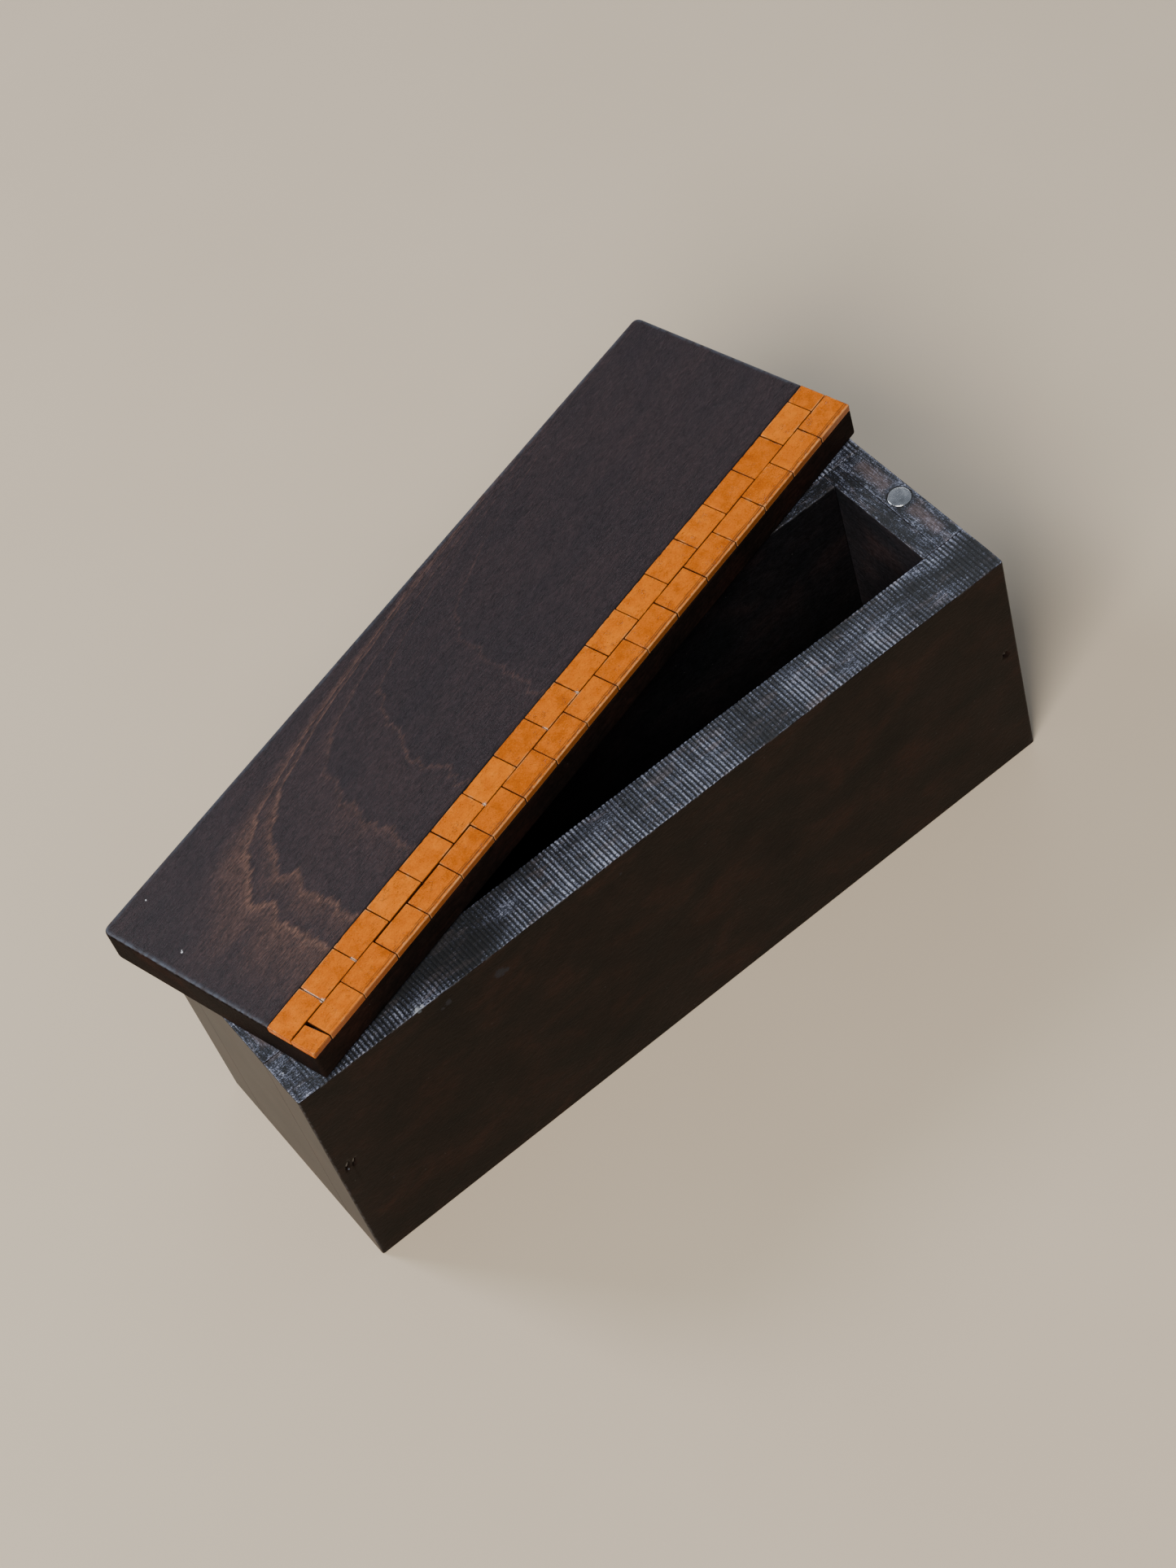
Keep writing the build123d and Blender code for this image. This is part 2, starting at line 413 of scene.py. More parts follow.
def rim_wood(name, along, burrs=()):
    """Sawn rims: black in the grooves, with a painted highlight and painted sky reflection in light
    blue-grey on the partly rubbed crests, and bright specks.
    """
    wood = Recipe(name)
    crest = wood.attribute("crest")
    scratch = wood.noise(fibres(3.2, 0.16, along), detail=4, roughness=0.75)
    beads = wood.noise((0.32, 0.32, 0.32), detail=3, roughness=0.7)
    patch = wood.noise(fibres(11, 3, along), detail=3, distortion=0.8)
    height = wood.calc("ADD", crest, wood.remap(scratch, 0.32, 0.68, -0.34, 0.34))
    height = wood.calc("ADD", height, wood.remap(beads, 0.32, 0.68, -0.33, 0.34))
    height = wood.calc("ADD", height, wood.remap(patch, 0.3, 0.7, -0.12, 0.12))
    # painted highlight: the rim is made lighter along its edges
    edge = wood.remap(wood.attribute("edge_distance"), 0.1 * MM, 0.55 * MM, 0.16, 0.0)
    height = wood.calc("ADD", height, edge)
    # painted highlight and painted sky reflection: the higher the rib, the lighter and bluer its colour
    base = wood.ramp(height, [
        (0.34, (0.0026, 0.0032, 0.0048)),
        (0.54, (0.0135, 0.0160, 0.0265)),
        (0.74, (0.076, 0.087, 0.130)),
        (0.98, (0.295, 0.320, 0.420)),
    ])
    brown = wood.remap(wood.noise(fibres(7, 1.6, along), detail=4, distortion=0.9), 0.55, 0.68)
    brown = wood.product(brown, wood.remap(height, 0.35, 0.8, 0.1, 0.5))
    base = wood.blend(brown, base, (0.15, 0.115, 0.11))
    raw = wood.product(wood.attribute("raw"), wood.remap(scratch, 0.3, 0.62), 0.62)
    base = wood.blend(raw, base, (0.17, 0.118, 0.115))
    # painted glints: bright blue-white specks on the high crests
    painted_glint = wood.remap(wood.cells(fibres(0.75, 0.3, along)), 0.16, 0.09)
    painted_glint = wood.product(painted_glint, wood.remap(height, 0.5, 0.85), 0.6)
    base = wood.blend(painted_glint, base, (0.44, 0.48, 0.55))
    # the burrs are painted light blue-grey as a highlight
    base = spots(wood, burrs, (0.34, 0.37, 0.43), base)
    rough = wood.remap(height, 0.2, 1.0, 0.6, 0.3)
    relief = wood.bump(scratch, 0.11)
    relief = wood.bump(beads, 0.07, relief)
    return wood.finish(base, rough, relief)


# the rings along 110 mm of the lid: share of that way, and how light the wood is there
RING_GREYS = (
    (0.00, 0.06), (0.08, 0.24),
    (0.160, 0.46), (0.175, 0.80), (0.186, 0.16),
    (0.232, 0.38), (0.244, 0.68), (0.256, 0.07), (0.35, 0.16),
    (0.404, 0.26), (0.411, 0.44), (0.422, 0.04),
    (0.553, 0.14), (0.560, 0.46), (0.567, 0.03),
    (0.768, 0.10), (0.775, 0.36), (0.782, 0.02), (1.00, 0.05),
)


def growth_rings(wood):
    """How light the lid's wood is: pale lines that cross the board, each beside a dark one.

    Near the plain edge they sweep round to run along the board.
    """
    axes = wood.node("ShaderNodeSeparateXYZ", {"Vector": wood.place})
    along = wood.calc("DIVIDE", wood.calc("SUBTRACT", axes.outputs["X"], lid_low[0]), MM)
    across = wood.calc("DIVIDE", wood.calc("SUBTRACT", axes.outputs["Y"], lid_low[1]), MM)
    sweep = wood.calc("DIVIDE", wood.calc("SUBTRACT", across, 44.0), 5.0)
    sweep = wood.product(wood.calc("EXPONENT", sweep), 17.0)
    ring = wood.calc("SUBTRACT", along, sweep)
    for length, width, reach in ((40, 5.0, 3.0), (6, 1.1, 1.1), (1.6, 0.28, 0.5)):
        waver = wood.noise((length, width, length), detail=2)
        ring = wood.calc("ADD", ring, wood.remap(waver, 0.2, 0.8, -reach, reach))
    return wood.ramp(wood.remap(ring, 0.0, 110.0), [
        (place, (grey, grey, grey)) for place, grey in RING_GREYS
    ])


# from the pivot end, from the brick side, and radius in mm
WHITE_SPECKS = ((9.6, 50.5, 0.20), (4.3, 36.5, 0.22), (4.6, 36.8, 0.15))


def lid_wood():
    """Plain-sawn board, brown-black, with lighter growth rings sweeping across one end."""
    wood = Recipe("lid_top_wood", LID_PLACE)
    figure = growth_rings(wood)
    streaks = wood.noise((1.7, 0.2, 0.2), detail=4, roughness=0.72)
    fine = wood.noise((0.7, 0.12, 0.12), detail=2, roughness=0.6)
    leather = wood.noise((0.9, 0.5, 0.9), detail=4, roughness=0.65, distortion=0.6)
    mottle = wood.noise((16, 5, 16), detail=3)
    light = wood.product(figure, wood.remap(streaks, 0.32, 0.66, 0.6, 1.25))
    light = wood.calc("ADD", light, wood.remap(mottle, 0.3, 0.7, -0.03, 0.13))
    base = wood.ramp(light, [
        (0.0, (0.0135, 0.0082, 0.0105)),
        (0.25, (0.0235, 0.0128, 0.0140)),
        (0.6, (0.055, 0.0275, 0.0215)),
        (1.0, (0.105, 0.054, 0.038)),
    ])
    base = scaled(wood, base, wood.remap(streaks, 0.32, 0.68, 0.42, 1.72))
    base = scaled(wood, base, wood.remap(fine, 0.3, 0.7, 0.75, 1.28))
    base = scaled(wood, base, wood.remap(leather, 0.3, 0.7, 0.62, 1.40))
    # painted shade: the lid's top turns near black along the seam with the bricks, where the gap is in
    # shadow
    seam = wood.calc("ADD", wood.attribute("seam"), wood.remap(leather, 0.3, 0.7, -0.25, 0.25))
    base = wood.blend(wood.remap(seam, 0.40, 0.62), base, (0.004, 0.004, 0.005))
    # pale blue along the edges: partly wear, partly a painted sky reflection on the rounded bevel
    worn = wood.remap(wood.attribute("edge_distance"), 1.15 * MM, 0.25 * MM)
    rub = wood.remap(wood.noise((2.2, 1.1, 1.6), detail=4, roughness=0.65), 0.34, 0.6)
    base = wood.blend(wood.product(worn, rub), base, (0.056, 0.066, 0.090))
    pivot_end, brick_side = lid_low[:2] / MM
    top = (lid_high[2] - lid_low[2]) / MM
    specks = [(pivot_end + x, brick_side + y, top, radius) for x, y, radius in WHITE_SPECKS]
    base = spots(wood, specks, (0.62, 0.63, 0.66), base)
    rough = wood.remap(streaks, 0.3, 0.7, 0.40, 0.54)
    relief = wood.bump(streaks, 0.075)
    relief = wood.bump(fine, 0.03, relief)
    relief = wood.bump(leather, 0.05, relief)
    return wood.finish(base, rough, relief, Specular_IOR_Level=0.4)


# ---------------- bricks
def flecked(clay, base):
    """Dark flecks and brown smudges in the clay."""
    fleck = clay.remap(clay.cells((0.7, 0.45, 0.7)), 0.22, 0.11)
    gather = clay.remap(clay.noise((1.7, 1.7, 1.7)), 0.44, 0.56)
    base = clay.blend(clay.product(fleck, gather, 0.7), base, (0.14, 0.04, 0.006))
    smudge = clay.remap(clay.noise((1.7, 0.8, 1.7), detail=5, roughness=0.78), 0.54, 0.68)
    return clay.blend(clay.product(smudge, 0.55), base, (0.26, 0.07, 0.006))


def hairlines(clay, sizes, width, share):
    """Fine wandering cracks, seen over a share of the clay."""
    hair = clay.noise(sizes, detail=4, roughness=0.6, distortion=0.4)
    hair = clay.line_at(hair, 0.5, width, 0.25 * width)
    seen = clay.noise((3 * sizes[1], 3 * sizes[1], 3 * sizes[1]))
    return clay.product(hair, clay.remap(seen, share, share + 0.06))


def rubbed_edges(clay, base, edge):
    """A light rubbed rim here and there along a brick's edges, and dark chips."""
    rim = clay.line_at(edge, 0.15 * MM, 0.09 * MM, 0.02 * MM)
    rub = clay.remap(clay.noise((4.0, 2.0, 4.0), detail=4), 0.54, 0.62)
    base = clay.blend(clay.product(rim, rub, 0.7), base, (0.68, 0.34, 0.12))
    chip = clay.remap(clay.noise((0.55, 0.4, 0.55), detail=3), 0.6, 0.66)
    by_edge = clay.remap(edge, 0.3 * MM, 0.12 * MM)
    return clay.blend(clay.product(chip, by_edge, 0.8), base, (0.13, 0.045, 0.012))


def rubbed_outer_row(clay, base, inside_outer_edge):
    """A double dark line along the outer row, a little inside its pale, worn edge."""
    rubbed = clay.attribute("rubbed")
    waver = clay.remap(clay.noise((3, 3, 3), detail=3), 0.3, 0.7, -0.08 * MM, 0.08 * MM)
    inside = clay.calc("ADD", inside_outer_edge, waver)
    broken = clay.remap(clay.noise((2.2, 0.5, 2.2), detail=5, roughness=0.75), 0.35, 0.49)
    for distance, width, depth in ((0.62, 0.22, 0.92), (1.02, 0.14, 0.8)):
        line = clay.line_at(inside, distance * MM, width * MM, 0.4 * width * MM)
        base = clay.blend(clay.product(line, broken, depth, rubbed), base, (0.10, 0.040, 0.014))
    ragged = clay.remap(clay.noise((0.8, 0.5, 0.8), detail=4, roughness=0.7), 0.3, 0.7,
                        -0.30 * MM, 0.30 * MM)
    pale = clay.calc("ADD", inside_outer_edge, ragged)
    pale = clay.remap(pale, 0.34 * MM, 0.16 * MM)
    return clay.blend(clay.product(pale, rubbed, 0.5), base, (0.62, 0.31, 0.12))


def brick_clay():
    """Orange fired clay under varnish: flecks, hairlines and edges rubbed light and dark."""
    clay = Recipe("brick_clay", LID_PLACE)
    edge = clay.attribute("edge_distance")
    inside_outer_edge = clay.attribute("inside_outer_edge")
    cloud = clay.noise((2.6, 2.6, 2.6), detail=5, roughness=0.65)
    dust = clay.noise((0.3, 0.3, 0.3), detail=3, roughness=0.7)
    shade = clay.calc("ADD", clay.remap(cloud, 0.25, 0.75, 0.10, 0.62), clay.attribute("tone"))
    shade = clay.calc("ADD", shade, clay.remap(dust, 0.3, 0.7, -0.20, 0.17))
    base = clay.ramp(shade, [
        (0.15, (0.40, 0.080, 0.0010)),
        (0.5, (0.60, 0.138, 0.0012)),
        (0.85, (0.74, 0.195, 0.003)),
    ])
    base = flecked(clay, base)
    for sizes, width, share in (((3.6, 1.1, 3.6), 0.008, 0.54), ((1.9, 1.0, 1.9), 0.012, 0.57)):
        hair = hairlines(clay, sizes, width, share)
        base = clay.blend(clay.product(hair, 0.75), base, (0.12, 0.03, 0.005))
    # painted shade: a dark line right at every brick edge, where the joints fall into shadow; it also
    # roughens the edges
    edge_shade = clay.product(clay.remap(edge, 0.11 * MM, 0.03 * MM), 0.85)
    base = clay.blend(edge_shade, base, (0.09, 0.030, 0.008))
    base = rubbed_edges(clay, base, edge)
    base = rubbed_outer_row(clay, base, inside_outer_edge)
    # the faces hidden in the joints are painted near black: painted shade in the narrow gaps
    joint_shade = clay.remap(clay.attribute("joint_depth"), 0.05 * MM, 0.14 * MM)
    base = clay.blend(clay.product(joint_shade, 0.95), base, (0.030, 0.010, 0.004))
    # the outer faces are darker than the tops
    on_face = clay.product(clay.remap(inside_outer_edge, 0.03 * MM, 0.01 * MM),
                           clay.remap(edge, 0.08 * MM, 0.20 * MM))
    base = clay.blend(clay.product(on_face, 0.85), base, (0.22, 0.052, 0.004))
    glue = clay.calc("ADD", clay.attribute("glue"), clay.remap(dust, 0.3, 0.7, -0.5, 0.5))
    base = clay.blend(clay.remap(glue, 0.45, 0.65), base, (0.60, 0.42, 0.31))
    rough = clay.calc("ADD", clay.remap(cloud, 0.3, 0.7, 0.22, 0.38), edge_shade)
    relief = clay.bump(cloud, 0.05)
    relief = clay.bump(dust, 0.02, relief)
    # only the last, finer hairlines are cut into the clay
    relief = clay.bump(clay.calc("SUBTRACT", 1.0, hair), 0.02, relief)
    return clay.finish(base, rough, relief, Specular_IOR_Level=0.25)


# ---------------- metal
def plated_metal(name, colour, rough_range):
    """Bright metal with cloudiness and a scatter of scratches."""
    metal = Recipe(name)
    cloud = metal.noise((1.6, 1.6, 1.6), detail=4)
    scratch = metal.noise((2.4, 0.05, 0.4), detail=2, turn=0.7)
    rough = metal.remap(cloud, 0.3, 0.7, *rough_range)
    rough = metal.calc("ADD", rough, metal.remap(scratch, 0.55, 0.7, 0.0, 0.12))
    dark = tuple(part * 0.55 for part in colour)
    base = metal.blend(metal.remap(cloud, 0.25, 0.8), dark, colour)
    relief = metal.bump(metal.remap(scratch, 0.5, 0.7), 0.006)
    return metal.finish(base, rough, relief, Metallic=1.0)


# ---------------- finishes
# scuffs on the brick side and burrs on the rims: x, y, z and radius in mm
SCUFFS = ((-51.5, -27, 56.2, 0.9), (-53.0, -27, 55.6, 0.5), (-40.2, -27, 53.4, 1.5),
          (-38.8, -27, 52.9, 0.8), (-11.0, -27, 55.0, 0.4), (-76.0, -27, 20.0, 0.3))
BURRS = ((-57.3, -26.7, 60, 0.95), (-56.3, -26.6, 60, 0.5), (-82.6, -24.0, 60, 0.30),
         (-83.4, -19.6, 60, 0.26), (-81.2, -21.8, 60, 0.24))
# inside the box the wood's colour is cast towards blue
INSIDE_CAST = (1.0, 1.6, 2.4)
wall_along_x = stained_wood("stained_wood_long", ALONG_X, 0.085, scuffs=SCUFFS)
wall_along_y = stained_wood("stained_wood_end", ALONG_Y, 0.12, (0.39, 0.41), 0.04)
lid_side = stained_wood("stained_wood_lid", ALONG_X, 0.05, (0.66, 0.8), 1.8, place=LID_PLACE, lift=1.2)
inside_along_x = stained_wood("liner_wood_long", ALONG_X, 0.35, (0.42, 0.5), lift=0.8, cast=INSIDE_CAST)
inside_along_y = stained_wood("liner_wood_end", ALONG_Y, 0.4, (0.42, 0.5), lift=1.6, cast=INSIDE_CAST)
base_finish = stained_wood("base_board_wood", ALONG_X, 0.35, (0.45, 0.55), cast=INSIDE_CAST)
rim_along_x = rim_wood("rim_wood_long", ALONG_X, BURRS)
rim_along_y = rim_wood("rim_wood_end", ALONG_Y)
lid_finish = lid_wood()
brick_finish = brick_clay()
nickel = plated_metal("nickel", (0.72, 0.73, 0.75), (0.18, 0.32))
steel = plated_metal("dark_steel", (0.36, 0.35, 0.34), (0.3, 0.5))


# ---------------- long walls
RIB_PITCH = 0.96 * MM
RIB_PROFILE = (0.0, 0.14, 0.38, 0.62, 0.86)
RIB_DEPTH = 0.30 * MM
RIB_WANDER = 0.09 * MM
PLAIN_END = 3.2 * MM
PLAIN_END_FADE = 2.0 * MM
RIM_SETTLE = 0.04 * MM
RIM_FADE = 1.1 * MM
# an edge distance that no wear reaches
UNWORN = 5.0 * MM
# how much is left of the ribs' crests: places along the box in mm, and 1 for all
CREST_PLACES = (-70, -50, -20, 20, 50, 80)
CREST_LEVELS = (0.55, 0.57, 0.84, 0.80, 0.68, 0.90)
BURR_ALONG = -57.2 * MM


def rib_marks(low, high, seed):
    """Where a ribbed rim is divided along its length: five places on every rib."""
    pitches = RIB_PITCH * (1 + 0.09 * np.random.default_rng(seed).uniform(-1, 1, 400))
    starts = low + np.concatenate([[0.0], np.cumsum(pitches)])
    starts = starts[starts < high]
    widths = np.diff(np.append(starts, high))
    return np.concatenate([start + width * np.array(RIB_PROFILE)
                           for start, width in zip(starts, widths)]), starts


def rib_height(x, starts, high):
    """From 0 in a groove to 1 on a crest."""
    bounds = np.append(starts, high + MM)
    rib = np.clip(np.searchsorted(bounds, x, side="right") - 1, 0, len(starts) - 1)
    share = (x - bounds[rib]) / (bounds[rib + 1] - bounds[rib])
    strength = 1 - 0.3 * np.random.default_rng(len(starts)).uniform(0, 1, len(starts) + 1)
    return np.sin(np.pi * np.clip(share, 0, 1)) ** 0.9 * strength[rib]


NAIL_MARK_REACH = 1.5 * MM
NAIL_MARK_DEPTH = 0.8 * MM


def nail_mark(x, z, slots):
    """How deep a set nail's mark is: a few slanted slots, each (x, z, turn, length, width)."""
    depth = np.zeros(len(x))
    for centre_x, centre_z, turn, length, width in slots:
        a, b = x - centre_x * MM, z - centre_z * MM
        along = (a * math.cos(turn) + b * math.sin(turn)) / (length / 2 * MM)
        across = (b * math.cos(turn) - a * math.sin(turn)) / (width / 2 * MM)
        ragged = 0.16 * patches(x, z, 0.3 * MM, 0.3 * MM, 77)
        depth = np.maximum(depth, np.clip(1.25 - np.hypot(along, across) + ragged, 0, 1))
    return smooth_step(depth)


# slots of a nail mark: x and z from its middle, turn in radians, length and width in mm
PAIR_OF_SLOTS = ((-0.75, 0.1, 1.05, 2.7, 0.95), (0.75, 0.0, 1.15, 2.3, 0.9))
ROUND_DENT = ((0, 0, 0, 1.7, 1.5),)


def rim_crests(x, y, side, seed, low, high, starts):
    """How far the rim stands up at each point, from 0 in a groove to 1 on a fresh crest.

    Also returns how ribbed the rim is there: the pivot end is left plain from the saw.
    """
    ribbed = np.clip((x - low[0] - PLAIN_END) / PLAIN_END_FADE, 0, 1)
    wear = np.interp(x, np.array(CREST_PLACES) * MM, CREST_LEVELS)
    worn = np.clip(wear + 0.42 * patches(x, y, 14 * MM, 5 * MM, seed + 1), 0.25, 1)
    crest = rib_height(x, starts, high[0]) * worn * ribbed
    rough = 0.5 + 0.5 * patches(x, y, 0.5 * MM, 0.45 * MM, seed + 2)
    crest = crest + (1 - ribbed) * (0.28 + 0.5 * rough)
    smear = np.clip(1.7 * patches(x, y, 8 * MM, 3.5 * MM, seed + 5) - 0.45, 0, 0.9) * ribbed
    crest = crest * (1 - smear) + (0.42 + 0.34 * rough) * smear
    # the burr stands up as a full crest, and its crest value above 1 also paints it as a bright highlight
    if side < 0:
        burr = np.hypot((x - BURR_ALONG) / (0.8 * MM), (y - low[1]) / (0.7 * MM))
        crest = np.maximum(crest, 1.25 - burr)
    return crest, ribbed


def make_long_wall(node, side, seed):
    """A long wall whose rim is ribbed crosswise by the saw. side is -1 by the bricks."""
    low, high = box_in(node)
    corner = 0.5 * MM
    ribs, starts = rib_marks(low[0] + corner, high[0] - corner, seed)
    xs = marks(low[0], high[0], 40 * MM, (BOARD_EDGE, corner), ribs)
    ys = marks(low[1], high[1], 0.95 * MM, (BOARD_EDGE, corner))
    nails_low, nails_high = box_in("wall_brads")
    nail_x = nails_high[0] - (nails_high[2] - nails_low[2]) / 2
    nail_z = (nails_low[2] + nails_high[2]) / 2
    by_nails = np.linspace(-NAIL_MARK_REACH, NAIL_MARK_REACH, 9) + nail_z
    below_rim = high[2] - np.array([0.7, 1.1, 2.2]) * MM
    zs = marks(low[2], high[2], 11 * MM, (BOARD_EDGE,), [*below_rim, *by_nails])
    points, sheets = block_grid(xs, ys, zs)
    x, y, z = points.T
    across = [corner, TIGHT_CORNER] if side < 0 else [TIGHT_CORNER, corner]
    shaped, edge_distance = soften(points.copy(), low, high, [across, across], BOARD_EDGE)
    inner_half = side * (y - (low[1] + high[1]) / 2) < 0
    edge_distance[inner_half & (z < high[2] - RIM_FADE)] = UNWORN

    crest, ribbed = rim_crests(x, y, side, seed, low, high, starts)
    near_rim = smooth_step(np.clip(1 - (high[2] - z) / RIM_FADE, 0, 1))
    drop = RIM_SETTLE + RIB_DEPTH * (1 - np.clip(crest, 0, 1))
    shaped[:, 2] -= drop * near_rim
    shaped[:, 0] += RIB_WANDER * patches(x, y, 7 * MM, 4 * MM, seed + 3) * near_rim * ribbed
    outer_face = y == (low[1] if side < 0 else high[1])
    for end, slots in ((-1, PAIR_OF_SLOTS if side < 0 else ROUND_DENT), (1, ROUND_DENT)):
        mark = nail_mark(x - end * nail_x, z - nail_z, slots)
        shaped[outer_face, 1] -= side * NAIL_MARK_DEPTH * mark[outer_face]
    crest_shown = np.where(z > high[2] - RIM_FADE, crest, 0)
    values = {"crest": crest_shown, "edge_distance": edge_distance, "raw": 0.0}
    finishes = [wall_along_x, rim_along_x, wall_along_y]
    piece = build(node + "_wood", shaped, sheets, (1, 2, 0), finishes, values, BOX_PLACE)
    return stand_for(piece, BOX_BODY, node)


# ---------------- end walls, liners and base
LINER_RIM_LEVEL = 0.36


def make_board(node, face_finish, rim_finish, corner, seed, spacing=0.5 * MM,
               pale_stripe=0.0, rim_level=0.49):
    """A plain board whose top edge, when it has a rim finish, is rough from the saw.

    corner is the radius of its upright corners, pale_stripe says how strongly the stripes
    of unstained wood show, and rim_level how light the rim is.
    """
    low, high = box_in(node)
    xs = marks(low[0], high[0], spacing, (BOARD_EDGE, corner))
    ys = marks(low[1], high[1], spacing, (BOARD_EDGE, corner))
    zs = marks(low[2], high[2], 9 * MM, (BOARD_EDGE,), high[2] - np.array([0.7, 1.1]) * MM)
    points, sheets = block_grid(xs, ys, zs)
    x, y, z = points.T
    radii = [[corner, corner], [corner, corner]]
    shaped, edge_distance = soften(points.copy(), low, high, radii, BOARD_EDGE)
    edge_distance[z < high[2] - RIM_FADE] = UNWORN
    rough = rim_level + 0.12 * patches(x, y, 1.9 * MM, 1.4 * MM, seed) \
        + 0.16 * patches(x, y, 0.55 * MM, 0.55 * MM, seed + 1)
    near_rim = smooth_step(np.clip(1 - (high[2] - z) / RIM_FADE, 0, 1))
    if rim_finish:
        shaped[:, 2] -= (RIM_SETTLE + 0.09 * MM * (1 - rough)) * near_rim
    numbers = (1 if rim_finish else 0, 0, 0)
    finishes = [face_finish, rim_finish] if rim_finish else [face_finish]
    # wood left pale by the stain, in a stripe on both sides of the middle
    aside = np.abs(x - (low[0] + high[0]) / 2) / (1.5 * MM)
    along = np.clip((np.abs(y) - 3.0 * MM) / MM, 0, 1) * np.clip((13 * MM - np.abs(y)) / MM, 0, 1)
    raw = pale_stripe * np.clip(1.3 - aside, 0, 1) * along * near_rim
    values = {"crest": rough * near_rim, "edge_distance": edge_distance, "raw": raw}
    piece = build(node + "_wood", shaped, sheets, numbers, finishes, values, BOX_PLACE)
    return stand_for(piece, BOX_BODY, node)


# ---------------- lid panel
def make_lid_panel():
    """The lid: softly worn all round, and stepped down where the bricks are laid."""
    low, high = lid_low, lid_high
    edge, plain_corner, brick_corner = 0.6 * MM, 1.6 * MM, 0.5 * MM
    seam = brick_high[1]
    bed = brick_low[2]
    step = [seam - 0.02 * MM, seam + 0.05 * MM, seam + 0.25 * MM, seam + 0.6 * MM]
    xs = marks(low[0], high[0], 0.6 * MM, (edge, plain_corner))
    ys = marks(low[1], high[1], 1.1 * MM, (edge, plain_corner), step)
    zs = marks(low[2], high[2], 1.2 * MM, (edge,))
    points, sheets = block_grid(xs, ys, zs)
    x, y, z = points.T
    radii = [[brick_corner, plain_corner], [brick_corner, plain_corner]]
    shaped, edge_distance = soften(points.copy(), low, high, radii, edge)
    # below the bricks the board keeps its outline and only loses height
    in_step = y < seam
    share = (bed - low[2]) / (high[2] - low[2])
    shaped[in_step, 2] = low[2] + (points[in_step, 2] - low[2]) * share
    ragged = 0.5 + 0.5 * wave(x, 0.9 * MM, 31) * wave(x, 5 * MM, 32)
    by_seam = np.clip(1 - (y - seam) / (0.6 * MM), 0, 1) * (y >= seam) * (z >= high[2] - edge)
    shaped[:, 2] -= by_seam * (0.05 + 0.14 * ragged) * MM
    edge_distance = np.where(in_step, UNWORN, edge_distance)
    # where the painted shade along the brick seam falls
    seam_shade = np.clip(1 - (y - seam) / (0.45 * MM), 0, 1) * (y >= seam)
    values = {"edge_distance": edge_distance, "seam": seam_shade}
    piece = build("lid_panel_wood", shaped, sheets, (0, 1, 1), [lid_finish, lid_side], values, LID_PLACE)
    return stand_for(piece, LID_BODY, "lid_panel")


# ---------------- bricks
# a brick's spot is its row and its number from the pivot end
# where the outer row's dark lines are weaker, and how strong they are there
RUB = {"outer_02": 0.35, "outer_03": 0.75}
# in mm: edge radius, how much narrower the brick is, how far out of square its far end is
LOOSE_FIT = {
    "outer_01": (0.3, 0.0, 0.58), "outer_02": (0.14, 0.06, 0.0), "outer_04": (0.14, 0.28, 0.1),
    "outer_05": (0.14, 0.36, 0.0), "outer_06": (0.14, 0.12, 0.1), "inner_07": (0.14, 0.1, 0.0),
}
# old glue that dried white at some joints: the brick, the end (0 near, 1 far), where across
# the brick the patch lies (0 outer side, 1 inner side), its half length and its reach in mm
DRIED_GLUE = (
    ("inner_01", 1, 0.5, 0.6, 0.12),
    ("inner_02", 0, 0.5, 0.6, 0.12),
    ("inner_01", 1, 0.05, 0.14, 0.55),
    ("inner_02", 0, 0.05, 0.14, 0.45),
    ("inner_02", 1, 0.1, 0.22, 0.30),
    ("inner_03", 0, 0.1, 0.22, 0.26),
    ("inner_06", 1, 0.04, 0.14, 0.30),
    ("inner_07", 0, 0.04, 0.14, 0.36),
    ("inner_08", 1, 0.1, 0.16, 0.18),
    ("inner_09", 0, 0.1, 0.16, 0.18),
    ("inner_09", 1, 0.05, 0.14, 0.34),
    ("inner_10", 0, 0.05, 0.14, 0.30),
    ("outer_12", 1, 0.6, 0.10, 0.26),
)


def glue_at(spot, low, high, points):
    """From 0 on clean clay to 1 in the middle of a patch of dried glue."""
    glue = np.zeros(len(points))
    for brick, end, middle, half_length, reach in DRIED_GLUE:
        if brick == spot:
            from_end = np.abs(points[:, 0] - (high[0] if end else low[0])) / (reach * MM)
            across = (points[:, 1] - low[1]) / (high[1] - low[1])
            glue = np.maximum(glue, 1.15 - np.hypot(from_end, (across - middle) / half_length))
    return np.clip(glue, 0, 1)


